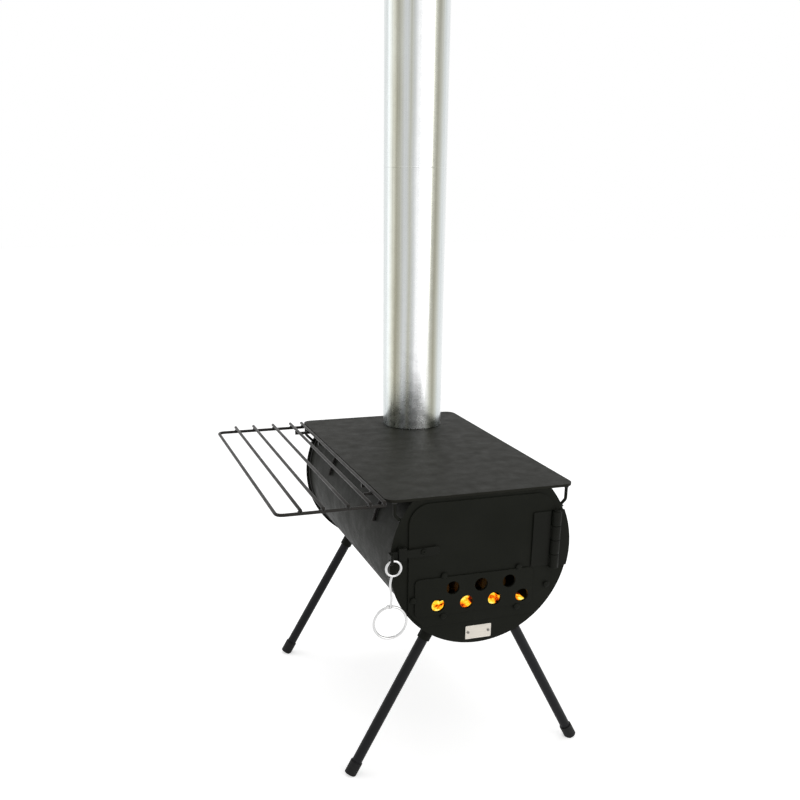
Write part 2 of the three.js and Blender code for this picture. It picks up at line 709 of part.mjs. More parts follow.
function addLatch() {
  const left = latchX - LATCH_REACH;
  const tailRadius = LATCH_TAIL_HEIGHT / 2;
  const tailX = latchX + LATCH_TAIL - tailRadius;
  const lever = outline(
    [
      new THREE.Vector2(left, latchBottom),
      ...arc(tailRadius, -Math.PI / 2, Math.PI / 2, 2 * CORNER_STEPS, tailX, latchBottom + tailRadius),
      new THREE.Vector2(left, latchBottom + LATCH_REACH_HEIGHT),
    ],
    [bore(BOLT_RADIUS + RUNNING_GAP, BOLT_SIDES, latchX, LATCH_PIVOT_HEIGHT)],
  );
  const lugRadius = LUG_HOLE_RADIUS + LUG_HOLE_WALL;
  const lug = outline(
    [
      ...arc(lugRadius, Math.PI, 1.5 * Math.PI, CORNER_STEPS, lugHoleY, lugHoleZ),
      new THREE.Vector2(latchBack, lugHoleZ - lugRadius),
      new THREE.Vector2(latchBack, latchBottom + LATCH_REACH_HEIGHT),
      new THREE.Vector2(lugHoleY - lugRadius, latchBottom + LATCH_REACH_HEIGHT),
    ],
    [bore(LUG_HOLE_RADIUS, TUBE_SIDES, lugHoleY, lugHoleZ)],
  );
  const lugSolid = bar(lug, left, left + LATCH_THICKNESS);
  add('latch_lever', joined(slab(lever, latchFront, latchBack), lugSolid), stovePaint);

  const headFace = latchFront - SEAT_GAP;
  const nutFace = doorBack + SEAT_GAP;
  const shank = nutFace + LATCH_NUT_HEIGHT + LATCH_BOLT_TAIL - headFace;
  add('latch_bolt', frontBolt(latchX, headFace, LATCH_PIVOT_HEIGHT, shank), stovePaint);
  const nut = outline(
    circle(LATCH_NUT_RADIUS, 6, latchX, LATCH_PIVOT_HEIGHT),
    [bore(BOLT_RADIUS + RUNNING_GAP, BOLT_SIDES, latchX, LATCH_PIVOT_HEIGHT)],
  );
  add('latch_nut', slab(nut, nutFace, nutFace + LATCH_NUT_HEIGHT), stovePaint);

  const keeperX = -doorSide - KEEPER_OFFSET;
  const seat = latchBottom - SEAT_GAP;
  const lipBack = latchFront - KEEPER_GAP;
  const lipTop = latchBottom + KEEPER_LIP_HEIGHT;
  const legFront = latchBack + SEAT_GAP;
  const keeper = outline([
    new THREE.Vector2(-SEAT_GAP, seat - KEEPER_THICKNESS),
    new THREE.Vector2(-SEAT_GAP, lipTop),
    new THREE.Vector2(legFront, lipTop),
    new THREE.Vector2(legFront, seat),
    new THREE.Vector2(lipBack, seat),
    new THREE.Vector2(lipBack, lipTop),
    new THREE.Vector2(lipBack - KEEPER_THICKNESS, lipTop),
    new THREE.Vector2(lipBack - KEEPER_THICKNESS, seat - KEEPER_THICKNESS),
  ]);
  add(
    'latch_keeper',
    bar(keeper, keeperX - KEEPER_WIDTH / 2, keeperX + KEEPER_WIDTH / 2),
    stovePaint,
  );
}

function wireRing(radius, x, z, steps) {
  const ring = new THREE.TorusGeometry(radius, PULL_WIRE_RADIUS, ROD_SIDES, steps);
  return ring.rotateX(Math.PI / 2).translate(x, lugHoleY, z);
}

// One wire: an eye through the latch's lug, a stem, and a ring for the finger
function addWirePull() {
  const eyeX = lugX + PULL_EYE_SHIFT;
  const eyeZ = lugHoleZ - Math.sqrt(PULL_EYE_RADIUS ** 2 - PULL_EYE_SHIFT ** 2);
  const stemTop = at(lugX + PULL_STEM_SHIFT, lugHoleY, eyeZ - PULL_EYE_RADIUS);
  const stemBottom = at(lugX - PULL_STEM_SHIFT, lugHoleY, stemTop.z - PULL_STEM_LENGTH);
  const wrapEnd = PULL_WRAP_LENGTH / 2;
  const wrapLeft = stemBottom.clone().add(at(-wrapEnd, 0, 0));
  const wrapRight = stemBottom.clone().add(at(wrapEnd, 0, 0));
  const ringZ = stemBottom.z - PULL_RING_RADIUS;
  add(
    'wire_pull',
    joined(
      wireRing(PULL_EYE_RADIUS, eyeX, eyeZ, 2 * ROD_SIDES),
      rod([stemTop, stemBottom], PULL_WIRE_RADIUS),
      rod([wrapLeft, wrapRight], PULL_WRAP_RADIUS),
      wireRing(PULL_RING_RADIUS, stemBottom.x, ringZ, 4 * ROD_SIDES),
    ),
    brightWire,
  );
}

// ---------------------------------------------------------------- legs and braces

function addLegs() {
  const barrel = slab(outline(circle(BARREL_RADIUS + SEAT_GAP, LARGE_SIDES)), 0, PLATE_DEPTH);
  const splay = radians(LEG_SPLAY);
  const capRadius = LEG_RADIUS + SEAT_GAP + CAP_WALL;
  const ground = rectangle(-PLATE_WIDTH, PLATE_WIDTH, -PLATE_DEPTH, 2 * PLATE_DEPTH);
  const floor = column(outline(ground), floorHeight - CAP_LENGTH, floorHeight);
  for (const [end, socketY, leanDegrees] of [
    ['front', FRONT_SOCKET_SETBACK, 0],
    ['rear', PLATE_DEPTH - REAR_SOCKET_SETBACK, REAR_LEG_LEAN],
  ]) {
    const lean = Math.tan(radians(leanDegrees));
    for (const [hand, side] of [['left', -1], ['right', 1]]) {
      const down = at(side * Math.sin(splay), Math.cos(splay) * lean, -Math.cos(splay)).normalize();
      const rootX = side * BARREL_RADIUS * Math.sin(splay);
      const root = at(rootX, socketY, -BARREL_RADIUS * Math.cos(splay));
      const capTilt = Math.sqrt(1 - down.z ** 2);
      const reach = (root.z - floorHeight - capRadius * capTilt + CAP_FLAT) / -down.z;

      const socket = column(
        outline(
          circle(LEG_RADIUS + RUNNING_GAP + SOCKET_WALL, TUBE_SIDES),
          [bore(LEG_RADIUS + RUNNING_GAP, TUBE_SIDES)],
        ),
        -SOCKET_ROOT,
        SOCKET_LENGTH,
      );
      add(`leg_socket_${end}_${hand}`, cut(aimed(socket, root, down), barrel), stovePaint);

      const tubeStart = SEAT_GAP + LEG_RADIUS * lean;
      const tubeEnd = reach - CAP_FLOOR - SEAT_GAP;
      const tube = outline(
        circle(LEG_RADIUS, TUBE_SIDES),
        [circle(LEG_RADIUS - LEG_WALL, TUBE_SIDES)],
      );
      add(`leg_tube_${end}_${hand}`, aimed(column(tube, tubeStart, tubeEnd), root, down), legPaint);

      const capBore = (LEG_RADIUS + SEAT_GAP) / Math.cos(Math.PI / TUBE_SIDES);
      const cap = turned(
        [
          [0, CAP_LENGTH - CAP_FLOOR],
          [capBore, CAP_LENGTH - CAP_FLOOR],
          [capBore, 0],
          [capRadius, 0],
          [capRadius, CAP_LENGTH],
          [0, CAP_LENGTH],
        ],
        TUBE_SIDES,
      );
      const capPlace = root.clone().addScaledVector(down, reach - CAP_LENGTH);
      add(`foot_cap_${end}_${hand}`, cut(aimed(cap, capPlace, down), floor), footRubber);
    }
  }
}

// Bent rods from the plate's corners to the end plates' rims
function addBraces() {
  const rim = slab(
    outline(circle(endPlateRadius + SEAT_GAP, LARGE_SIDES)),
    -BRACE_FOOT,
    PLATE_DEPTH + BRACE_FOOT,
  );
  const slope = BRACE_FOOT * Math.SQRT1_2;
  for (const [end, y, inset] of [
    ['front', BRACE_SETBACK, FRONT_BRACE_INSET],
    ['rear', PLATE_DEPTH - BRACE_SETBACK - PLATE_REAR_OVERHANG, REAR_BRACE_INSET],
  ]) {
    for (const [hand, side] of [['left', -1], ['right', 1]]) {
      const x = plateSide - inset;
      const bendZ = plateUnderside - BRACE_DROP;
      const path = rounded(
        [
          at(side * x, y, flatTop),
          at(side * x, y, bendZ),
          at(side * (x - slope), y, bendZ - slope),
        ],
        BRACE_BEND_RADIUS,
      );
      add(`corner_brace_${end}_${hand}`, cut(rod(path, BRACE_RADIUS), rim), stovePaint);
    }
  }
}

// ---------------------------------------------------------------- side shelf

function addShelf() {
  const outer = shelfSide - SHELF_REACH;
  const inner = shelfSide - SHELF_END_GAP;
  const frame = rounded(
    [
      at(inner, SHELF_FRONT_SETBACK, crossHeight),
      at(outer, SHELF_FRONT_SETBACK, crossHeight),
      at(outer, shelfRear, crossHeight),
      at(inner, shelfRear, crossHeight),
    ],
    SHELF_CORNER_RADIUS,
  );
  add('shelf_frame', rod(frame, SHELF_ROD_RADIUS), legPaint);

  const barFront = SHELF_FRONT_SETBACK - SHELF_ROD_RADIUS;
  SHELF_BAR_PLACES.forEach((place, i) => {
    const x = shelfSide - place;
    const ends = [at(x, barFront, barHeight), at(x, shelfRear + SHELF_BAR_OVERHANG, barHeight)];
    add(`shelf_bar_${i + 1}`, rod(ends, SHELF_ROD_RADIUS), legPaint);
  });

  const armInner = -Math.sqrt(BARREL_RADIUS ** 2 - crossHeight ** 2) - ARM_END_GAP;
  for (const [end, y, reach] of [
    ['front', FRONT_ARM_SETBACK, FRONT_ARM_REACH],
    ['rear', PLATE_DEPTH - REAR_ARM_SETBACK, REAR_ARM_REACH],
  ]) {
    const ends = [at(shelfSide - reach, y, crossHeight), at(armInner, y, crossHeight)];
    add(`shelf_arm_${end}`, rod(ends, SHELF_ROD_RADIUS), legPaint);
    addStaple(end, y);
  }

  // The hooks turn down under the plate and lie along the barrel's side
  const wrap = BARREL_RADIUS + SHELF_ROD_RADIUS + SEAT_GAP;
  const bendZ = crossHeight - HOOK_BEND_RADIUS;
  const bendX = -Math.sqrt((wrap + HOOK_BEND_RADIUS) ** 2 - bendZ ** 2);
  const meet = Math.atan2(-bendZ, -bendX);
  const bend = arc(HOOK_BEND_RADIUS, Math.PI / 2, meet, BEND_STEPS, bendX, bendZ);
  const lowEnd = Math.PI - Math.asin((plateTop - HOOK_DROP) / wrap);
  const side = arc(wrap, Math.PI + meet, lowEnd, BEND_STEPS).slice(1);
  const hookOuter = shelfSide - HOOK_REACH;
  for (const [end, y] of [
    ['front', FRONT_HOOK_SETBACK],
    ['rear', PLATE_DEPTH - REAR_HOOK_SETBACK],
  ]) {
    const points = [at(hookOuter, y, crossHeight), ...[...bend, ...side].map((p) => at(p.x, y, p.y))];
    add(`shelf_hook_${end}`, rod(points, SHELF_ROD_RADIUS), legPaint);
  }
}

// A strap bent round an arm and closed by the cooking plate above it
function addStaple(end, y) {
  const halfInner = SHELF_ROD_RADIUS + RUNNING_GAP;
  const halfOuter = halfInner + STAPLE_THICKNESS;
  const innerBottom = crossHeight - halfInner;
  const strap = outline([
    new THREE.Vector2(y - halfOuter, flatTop),
    new THREE.Vector2(y - halfOuter, innerBottom - STAPLE_THICKNESS),
    new THREE.Vector2(y + halfOuter, innerBottom - STAPLE_THICKNESS),
    new THREE.Vector2(y + halfOuter, flatTop),
    new THREE.Vector2(y + halfInner, flatTop),
    new THREE.Vector2(y + halfInner, innerBottom),
    new THREE.Vector2(y - halfInner, innerBottom),
    new THREE.Vector2(y - halfInner, flatTop),
  ]);
  const left = shelfSide + STAPLE_INSET;
  add(`shelf_staple_${end}`, bar(strap, left, left + STAPLE_LENGTH), stovePaint);
}

addBody();
addGrate();
addFlue();
addNameplate();
addHinge();
addDoor();
addLatch();
addWirePull();
addLegs();
addBraces();
addShelf();

// The origin is on the floor under the middle of the whole stove
const bounds = new THREE.Box3().setFromObject(stove);
const middle = bounds.getCenter(new THREE.Vector3());
stove.position.set(-middle.x, -middle.y, -bounds.min.z);

export default stove;
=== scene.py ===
import math
import random

import bmesh
import bpy
from mathutils import Matrix, Vector, noise


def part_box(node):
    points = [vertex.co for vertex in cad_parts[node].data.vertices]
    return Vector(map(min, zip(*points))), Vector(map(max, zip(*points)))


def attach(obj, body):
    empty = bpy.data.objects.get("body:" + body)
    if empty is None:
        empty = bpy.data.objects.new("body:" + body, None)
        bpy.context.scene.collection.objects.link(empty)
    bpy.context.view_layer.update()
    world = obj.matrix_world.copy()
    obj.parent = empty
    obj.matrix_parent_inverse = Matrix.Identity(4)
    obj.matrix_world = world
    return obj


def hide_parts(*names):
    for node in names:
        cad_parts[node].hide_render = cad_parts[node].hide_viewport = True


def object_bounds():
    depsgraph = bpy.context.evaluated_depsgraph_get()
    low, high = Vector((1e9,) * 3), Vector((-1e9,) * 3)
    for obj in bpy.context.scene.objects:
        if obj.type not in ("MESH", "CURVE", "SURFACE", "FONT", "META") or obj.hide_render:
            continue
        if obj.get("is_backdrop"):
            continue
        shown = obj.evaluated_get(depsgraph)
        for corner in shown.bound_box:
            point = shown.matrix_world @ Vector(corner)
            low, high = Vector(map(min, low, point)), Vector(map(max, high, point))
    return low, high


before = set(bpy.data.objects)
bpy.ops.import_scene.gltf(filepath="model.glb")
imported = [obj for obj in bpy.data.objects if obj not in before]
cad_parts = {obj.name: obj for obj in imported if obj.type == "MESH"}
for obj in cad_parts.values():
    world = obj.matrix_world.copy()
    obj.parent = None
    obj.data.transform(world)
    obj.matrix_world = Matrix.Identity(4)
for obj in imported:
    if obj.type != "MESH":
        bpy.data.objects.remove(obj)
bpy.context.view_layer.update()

# ---------------------------------------------------------------- places, in the stove's own millimetres

plate_low, plate_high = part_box("cooking_plate")
CENTRE_X = (plate_low.x + plate_high.x) / 2
FRONT_Y = plate_low.y
BARREL_R = 164.9
AXIS_Z = plate_high.z - 0.1167
PLATE_TOP = 116.7
UNDER = 111.6


def at(x, y, z):
    """A point given from the barrel's axis and the plate's front edge, in mm."""
    return Vector((CENTRE_X + x / 1000, FRONT_Y + y / 1000, AXIS_Z + z / 1000))


def middle(node):
    low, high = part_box(node)
    return (low + high) / 2


# ---------------------------------------------------------------- material tools


class Shader:
    """A material with a Principled shader and short calls for the nodes that feed it."""

    def __init__(self, name):
        self.mat = bpy.data.materials.new(name)
        self.mat.use_nodes = True
        self.tree = self.mat.node_tree
        self.bsdf = self.tree.nodes["Principled BSDF"]
        self.place = self.node("ShaderNodeTexCoord").outputs["Object"]

    def node(self, kind, **settings):
        made = self.tree.nodes.new(kind)
        for key, value in settings.items():
            setattr(made, key, value)
        return made

    def link(self, out, socket):
        self.tree.links.new(out, socket)

    def set(self, **values):
        for key, value in values.items():
            self.bsdf.inputs[key.replace("_", " ")].default_value = value
        return self

    def stretched(self, scale):
        mapping = self.node("ShaderNodeMapping")
        mapping.inputs["Scale"].default_value = scale
        self.link(self.place, mapping.inputs["Vector"])
        return mapping.outputs["Vector"]

    def noise(self, scale, detail=3.0, rough=0.55, vector=None):
        made = self.node("ShaderNodeTexNoise")
        made.inputs["Scale"].default_value = scale
        made.inputs["Detail"].default_value = detail
        made.inputs["Roughness"].default_value = rough
        self.link(vector or self.place, made.inputs["Vector"])
        return made.outputs["Fac"]

    def cells(self, scale, vector=None):
        made = self.node("ShaderNodeTexVoronoi")
        made.inputs["Scale"].default_value = scale
        self.link(vector or self.place, made.inputs["Vector"])
        return made.outputs

    def ramp(self, fac, *stops):
        made = self.node("ShaderNodeValToRGB")
        elements = made.color_ramp.elements
        while len(elements) < len(stops):
            elements.new(0.5)
        for element, (position, colour) in zip(elements, stops):
            element.position = position
            element.color = (*colour, 1) if isinstance(colour, tuple) else (colour,) * 3 + (1,)
        self.link(fac, made.inputs["Fac"])
        return made.outputs["Color"]

    def between(self, fac, low, high, start=0.3, end=0.7):
        made = self.node("ShaderNodeMapRange")
        for key, value in (("From Min", start), ("From Max", end), ("To Min", low), ("To Max", high)):
            made.inputs[key].default_value = value
        self.link(fac, made.inputs["Value"])
        return made.outputs["Result"]

    def maths(self, operation, a, b):
        made = self.node("ShaderNodeMath", operation=operation, use_clamp=True)
        for value, socket in ((a, made.inputs[0]), (b, made.inputs[1])):
            if isinstance(value, float):
                socket.default_value = value
            else:
                self.link(value, socket)
        return made.outputs[0]

    def mix(self, fac, a, b, blend="MIX"):
        made = self.node("ShaderNodeMix", data_type="RGBA", blend_type=blend)
        for value, socket in ((fac, made.inputs[0]), (a, made.inputs[6]), (b, made.inputs[7])):
            if isinstance(value, float):
                socket.default_value = value
            elif isinstance(value, tuple):
                socket.default_value = (*value, 1)
            else:
                self.link(value, socket)
        return made.outputs[2]

    def edges(self, radius):
        """Softens sharp edges; returns the softened normal and a mask that is 1 on the edges."""
        soft = self.node("ShaderNodeBevel", samples=4)
        soft.inputs["Radius"].default_value = radius
        dot = self.node("ShaderNodeVectorMath", operation="DOT_PRODUCT")
        self.link(soft.outputs["Normal"], dot.inputs[0])
        self.link(self.node("ShaderNodeNewGeometry").outputs["Normal"], dot.inputs[1])
        return soft.outputs["Normal"], self.between(dot.outputs["Value"], 1.0, 0.0, 0.8, 0.99)

    def bump(self, height, distance, normal=None, strength=1.0):
        made = self.node("ShaderNodeBump")
        made.inputs["Distance"].default_value = distance
        made.inputs["Strength"].default_value = strength
        self.link(height, made.inputs["Height"])
        if normal is not None:
            self.link(normal, made.inputs["Normal"])
        return made.outputs["Normal"]

    def into(self, **sockets):
        for key, out in sockets.items():
            self.link(out, self.bsdf.inputs[key.replace("_", " ")])
        return self


def paint(name, dark, light, worn, rough, specular, edge=0.0008, grain=0.00012):
    """Heat-proof satin paint: mottled, finely grained, dusted and rubbed along its edges."""
    s = Shader(name)
    mottle = s.noise(7.0, 5.0, 0.6)
    blotch = s.noise(34.0, 4.0, 0.6)
    colour = s.ramp(mottle, (0.32, dark), (0.68, light))
    colour = s.mix(s.between(blotch, 0.0, 0.35, 0.5, 0.75), colour, light)
    normal, edges = s.edges(edge)
    rubbed = s.maths("MULTIPLY", edges, s.between(s.noise(90.0, 3.0), 0.1, 0.75, 0.4, 0.62))
    colour = s.mix(rubbed, colour, worn)
    dust = s.between(s.noise(620.0, 2.0), 0.0, 0.25, 0.66, 0.8)
    colour = s.mix(dust, colour, worn)
    fine = s.bump(s.noise(900.0, 2.0), grain, normal)
    wide = s.bump(s.noise(6.0, 2.0), 0.0003, fine)
    roughness = s.between(blotch, rough - 0.06, rough + 0.08)
    return s.set(Specular_IOR_Level=specular).into(Base_Color=colour, Roughness=roughness, Normal=wide).mat


body_paint = paint(
    "satin black stove paint",
    dark=(0.0088, 0.0096, 0.0072),
    light=(0.0122, 0.013, 0.0102),
    worn=(0.036, 0.035, 0.029),
    rough=0.5,
    specular=0.05,
)
plate_paint = paint(
    "heat-greyed plate paint",
    dark=(0.0105, 0.0108, 0.0078),
    light=(0.0138, 0.0135, 0.0102),
    worn=(0.034, 0.032, 0.026),
    rough=0.5,
    specular=0.07,
)
leg_paint = paint(
    "black leg enamel",
    dark=(0.0095, 0.0095, 0.0105),
    light=(0.014, 0.014, 0.0155),
    worn=(0.045, 0.044, 0.043),
    rough=0.42,
    specular=0.12,
)
rod_paint = paint(
    "black rod enamel",
    dark=(0.0105, 0.0092, 0.008),
    light=(0.018, 0.0158, 0.0135),
    worn=(0.056, 0.049, 0.042),
    rough=0.38,
    specular=0.15,
    edge=0.0003,
)
hinge_paint = paint(
    "black hinge paint",
    dark=(0.0084, 0.009, 0.0072),
    light=(0.012, 0.0126, 0.0102),
    worn=(0.04, 0.038, 0.033),
    rough=0.46,
    specular=0.06,
    edge=0.0006,
)


def zinc_pipe():
    """Galvanised sheet rolled into a pipe: lengthwise bands of painted reflection, fine streaks, faint
    spangle, darker towards its foot.
    """
    s = Shader("galvanised pipe sheet")
    # Tones of the painted reflection bands, from the brightest reflection down to the darkest reflected tone
    bright, pale, mid = (0.94, 0.95, 0.96), (0.74, 0.78, 0.78), (0.6, 0.62, 0.62)
    dull, dark_reflection = (0.47, 0.47, 0.4), (0.31, 0.3, 0.23)
    # Painted reflections: bands of tone set by degrees from the front, positive towards +X
    reflection_bands = (
        (-180, pale), (-155, dull), (-132, bright), (-104, pale), (-77, pale), (-64, dull),
        (-55, dark_reflection), (-47, dull), (-40, mid), (-35, mid), (-29, dull), (-22, mid),
        (-16, bright), (4, bright), (15, dull), (22, dark_reflection), (29, dull), (40, pale),
        (75, bright), (102, dull), (126, bright), (150, dark_reflection), (163, pale), (180, pale),
    )
    offset = s.node("ShaderNodeVectorMath", operation="SUBTRACT")
    offset.inputs[1].default_value = (flue.x, flue.y, plate_high.z)
    s.link(s.place, offset.inputs[0])
    place = s.node("ShaderNodeSeparateXYZ")
    s.link(offset.outputs[0], place.inputs[0])
    towards_front = s.node("ShaderNodeMath", operation="MULTIPLY")
    towards_front.inputs[1].default_value = -1.0
    s.link(place.outputs["Y"], towards_front.inputs[0])
    angle = s.node("ShaderNodeMath", operation="ARCTAN2")
    s.link(place.outputs["X"], angle.inputs[0])
    s.link(towards_front.outputs[0], angle.inputs[1])
    drift = s.node("ShaderNodeMath", operation="MULTIPLY_ADD")
    drift.inputs[1].default_value = 0.14
    s.link(s.noise(5.0, 3.0, 0.5, s.stretched((1, 1, 0.35))), drift.inputs[0])
    s.link(angle.outputs[0], drift.inputs[2])
    turn = s.between(drift.outputs[0], 0.0, 1.0, 0.07 - math.pi, 0.07 + math.pi)
    # Painted reflections: the pipe's colour follows its angle around the axis
    colour = s.ramp(turn, *(((degrees + 180) / 360, tone) for degrees, tone in reflection_bands))
    haze = s.between(s.noise(2.2, 3.0, 0.5), 0.0, 0.28, 0.35, 0.65)
    colour = s.mix(haze, colour, (0.68, 0.71, 0.7))
    thin = s.noise(130.0, 3.0, 0.6, s.stretched((1, 1, 0.012)))
    colour = s.mix(1.0, colour, s.ramp(thin, (0.32, 0.84), (0.5, 1.0), (0.7, 0.92)), "MULTIPLY")
    spangle = s.ramp(s.cells(210.0)["Color"], (0.0, 0.965), (1.0, 1.0))
    colour = s.mix(1.0, colour, spangle, "MULTIPLY")
    # Darker towards the foot, where the pipe stands on the plate
    foot = s.between(place.outputs["Z"], 1.0, 0.0, 0.005, 0.12)
    foot_darkening = s.maths("MULTIPLY", foot, s.between(s.noise(14.0, 3.0), 0.15, 0.35, 0.3, 0.7))
    colour = s.mix(foot_darkening, colour, (0.2, 0.25, 0.25))
    rough = s.between(s.noise(60.0, 3.0), 0.2, 0.32)
    ripple = s.bump(s.noise(9.0, 1.0, 0.4, s.stretched((1, 1, 0.06))), 0.0006)
    return s.set(Metallic=1.0).into(Base_Color=colour, Roughness=rough, Normal=ripple).mat


def bright_metal(name, colour, rough, grain_stretch=(1, 1, 1), grain=300.0):
    s = Shader(name)
    tone = s.noise(grain, 3.0, 0.6, s.stretched(grain_stretch))
    shade = s.mix(s.between(tone, 0.0, 1.0), tuple(0.82 * c for c in colour), colour)
    normal, edges = s.edges(0.0004)
    shade = s.mix(s.maths("MULTIPLY", edges, 0.5), shade, (0.9, 0.9, 0.88))
    fine = s.bump(tone, 0.00005, normal)
    roughness = s.between(s.noise(80.0), rough - 0.05, rough + 0.08)
    return s.set(Metallic=1.0).into(Base_Color=shade, Roughness=roughness, Normal=fine).mat


def rubber():
    s = Shader("black rubber cap")
    scuff = s.between(s.noise(160.0, 4.0), 0.0, 0.6, 0.55, 0.75)
    colour = s.mix(scuff, (0.0085, 0.0085, 0.0088), (0.022, 0.021, 0.02))
    normal, _ = s.edges(0.0012)
    fine = s.bump(s.noise(700.0), 0.0001, normal)
    roughness = s.between(scuff, 0.6, 0.85)
    return s.set(Specular_IOR_Level=0.18).into(Base_Color=colour, Roughness=roughness, Normal=fine).mat


def iron():
    s = Shader("sooty grate iron")
    rust = s.between(s.noise(45.0, 5.0, 0.65), 0.0, 0.7, 0.45, 0.7)
    colour = s.mix(rust, (0.012, 0.011, 0.01), (0.045, 0.024, 0.014))
    rough = s.bump(s.noise(220.0, 4.0), 0.0005, s.edges(0.001)[0])
    return s.set(Roughness=0.85).into(Base_Color=colour, Normal=rough).mat


def charred_wood():
    s = Shader("charred log")
    grain = s.noise(60.0, 4.0, 0.6, s.stretched((1, 0.08, 1)))
    crack = s.cells(55.0, s.stretched((1, 0.5, 1)))["Distance"]
    colour = s.ramp(grain, (0.35, (0.006, 0.005, 0.005)), (0.7, (0.03, 0.022, 0.017)))
    ash = s.between(s.noise(30.0, 4.0), 0.0, 0.4, 0.6, 0.75)
    colour = s.mix(ash, colour, (0.05, 0.046, 0.042))
    return s.set(Roughness=0.9).into(Base_Color=colour, Normal=s.bump(crack, 0.003)).mat


def embers():
    s = Shader("glowing embers")
    heat = s.noise(48.0, 5.0, 0.65)
    glow = s.ramp(
        heat,
        (0.36, (0.0, 0.0, 0.0)),
        (0.41, (0.12, 0.004, 0.0)),
        (0.45, (0.8, 0.08, 0.0)),
        (0.5, (1.0, 0.36, 0.01)),
        (0.56, (1.0, 0.62, 0.03)),
        (0.64, (1.0, 0.8, 0.2)),
    )
    coal = s.ramp(heat, (0.3, (0.01, 0.008, 0.007)), (0.5, (0.08, 0.02, 0.01)))
    lumps = s.bump(s.cells(70.0)["Distance"], 0.004)
    s.set(Roughness=0.9, Emission_Strength=1.3)
    return s.into(Base_Color=coal, Emission_Color=glow, Normal=lumps).mat


def weld_metal():
    """Painted weld bead: glossier than the sheet, with a faint scale."""
    s = Shader("painted weld bead")
    tone = s.noise(200.0, 3.0)
    colour = s.ramp(tone, (0.35, (0.008, 0.008, 0.0075)), (0.7, (0.02, 0.019, 0.018)))
    fine = s.bump(s.noise(500.0), 0.0002)
    roughness = s.between(tone, 0.3, 0.5)
    return s.set(Specular_IOR_Level=0.4).into(Base_Color=colour, Roughness=roughness, Normal=fine).mat


flue = middle("lower_pipe")
pipe_zinc = zinc_pipe()
wire_zinc = bright_metal("bright zinc wire", (0.66, 0.66, 0.66), 0.2, (1, 1, 0.2))
badge_metal = bright_metal("brushed badge", (0.62, 0.58, 0.52), 0.36, (0.04, 1, 1), 900.0)
rivet_metal = bright_metal("badge rivet", (0.2, 0.19, 0.18), 0.4)
cap_rubber = rubber()
grate_iron = iron()
log_char = charred_wood()
ember_glow = embers()
weld = weld_metal()

# ---------------------------------------------------------------- materials on the CAD nodes


def dress(material, *prefixes):
    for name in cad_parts:
        if name.startswith(prefixes):
            obj = bpy.data.objects[name]
            obj.data.materials.clear()
            obj.data.materials.append(material)


dress(body_paint, "barrel", "front_end", "rear_end", "flue_collar", "door_panel", "draft", "corner")
dress(body_paint, "leg_socket", "shelf_staple", "guide", "stop", "latch_bolt", "latch_nut")
dress(hinge_paint, "frame_hinge", "door_hinge", "hinge_pin", "latch_lever", "latch_keeper")
dress(plate_paint, "cooking_plate")
dress(leg_paint, "leg_tube")
dress(rod_paint, "shelf_frame", "shelf_bar", "shelf_arm", "shelf_hook")
dress(cap_rubber, "foot_cap")
dress(grate_iron, "fire_grate")
dress(pipe_zinc, "lower_pipe", "upper_pipe")
dress(badge_metal, "nameplate")
dress(wire_zinc, "wire_pull")

# ---------------------------------------------------------------- mesh tools


def piece(name, verts, faces, material, body, slot, smooth=True):
    mesh = bpy.data.meshes.new(name)
    mesh.from_pydata([tuple(v) for v in verts], [], faces)
    mesh.validate()
    bm = bmesh.new()
    bm.from_mesh(mesh)
    bmesh.ops.recalc_face_normals(bm, faces=bm.faces)
    bm.to_mesh(mesh)
    bm.free()
    if smooth:
        mesh.shade_smooth()
        mesh.set_sharp_from_angle(angle=math.radians(38))
    mesh.materials.append(material)
    obj = bpy.data.objects.new(name, mesh)
    bpy.context.scene.collection.objects.link(obj)
    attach(obj, body)
    return obj


def swept(path, radius, sides=14, closed=False, wobble=None):
    """A round tube along a path of points. wobble(i) scales the radius at point i."""
    count = len(path)
    verts, faces = [], []
    side = None
    for i, point in enumerate(path):
        before = path[i - 1] if closed or i else path[i]
        after = path[(i + 1) % count] if closed or i < count - 1 else path[i]
        along = (after - before).normalized()
        if side is None:
            side = along.orthogonal().normalized()
        side = (side - along * side.dot(along)).normalized()
        other = along.cross(side)
        r = radius * (wobble(i) if wobble else 1)
        for k in range(sides):
            a = 2 * math.pi * k / sides
            verts.append(point + (side * math.cos(a) + other * math.sin(a)) * r)
    for i in range(count if closed else count - 1):
        for k in range(sides):
            a, b = i * sides, (i + 1) % count * sides
            faces.append((a + k, a + (k + 1) % sides, b + (k + 1) % sides, b + k))
    if not closed:
        faces.append(tuple(range(sides)))
        faces.append(tuple(range((count - 1) * sides, count * sides)))
    return verts, faces


def together(*parts):
    verts, faces = [], []
    for more_verts, more_faces in parts:
        start = len(verts)
        verts += more_verts
        faces += [tuple(start + i for i in face) for face in more_faces]
    return verts, faces


def turned(profile, centre, sides, shape=None):
    """A profile of (radius, height) in mm turned about an upright axis. shape(angle, r, z) gives a radius."""
    verts, faces = [], []
    for r, z in profile:
        for k in range(sides):
            a = 2 * math.pi * k / sides
            rr = shape(a, r, z) if shape else r
            verts.append(centre + Vector((rr * math.cos(a), rr * math.sin(a), z)) / 1000)
    for i in range(len(profile) - 1):
        for k in range(sides):
            a, b = i * sides, (i + 1) * sides
            faces.append((a + k, a + (k + 1) % sides, b + (k + 1) % sides, b + k))
    return verts, faces


rng = random.Random(7)


def bead(path, radius, closed=False):
    """A weld bead: a thin tube with a rippled outside."""
    swell = [0.82 + 0.28 * abs(math.sin(1.7 * i)) + rng.uniform(-0.06, 0.06) for i in range(len(path))]
    return swept(path, radius / 1000, 8, closed, lambda i: swell[i])


def arc_points(radius, start, end, steps, y):
    """Points on a circle about the barrel's axis; angles in degrees from +X."""
    out = []
    for i in range(steps + 1):
        a = math.radians(start + (end - start) * i / steps)
        out.append(at(radius * math.cos(a), y, radius * math.sin(a)))
    return out


# ---------------------------------------------------------------- flue pipes

CRIMPS = 36


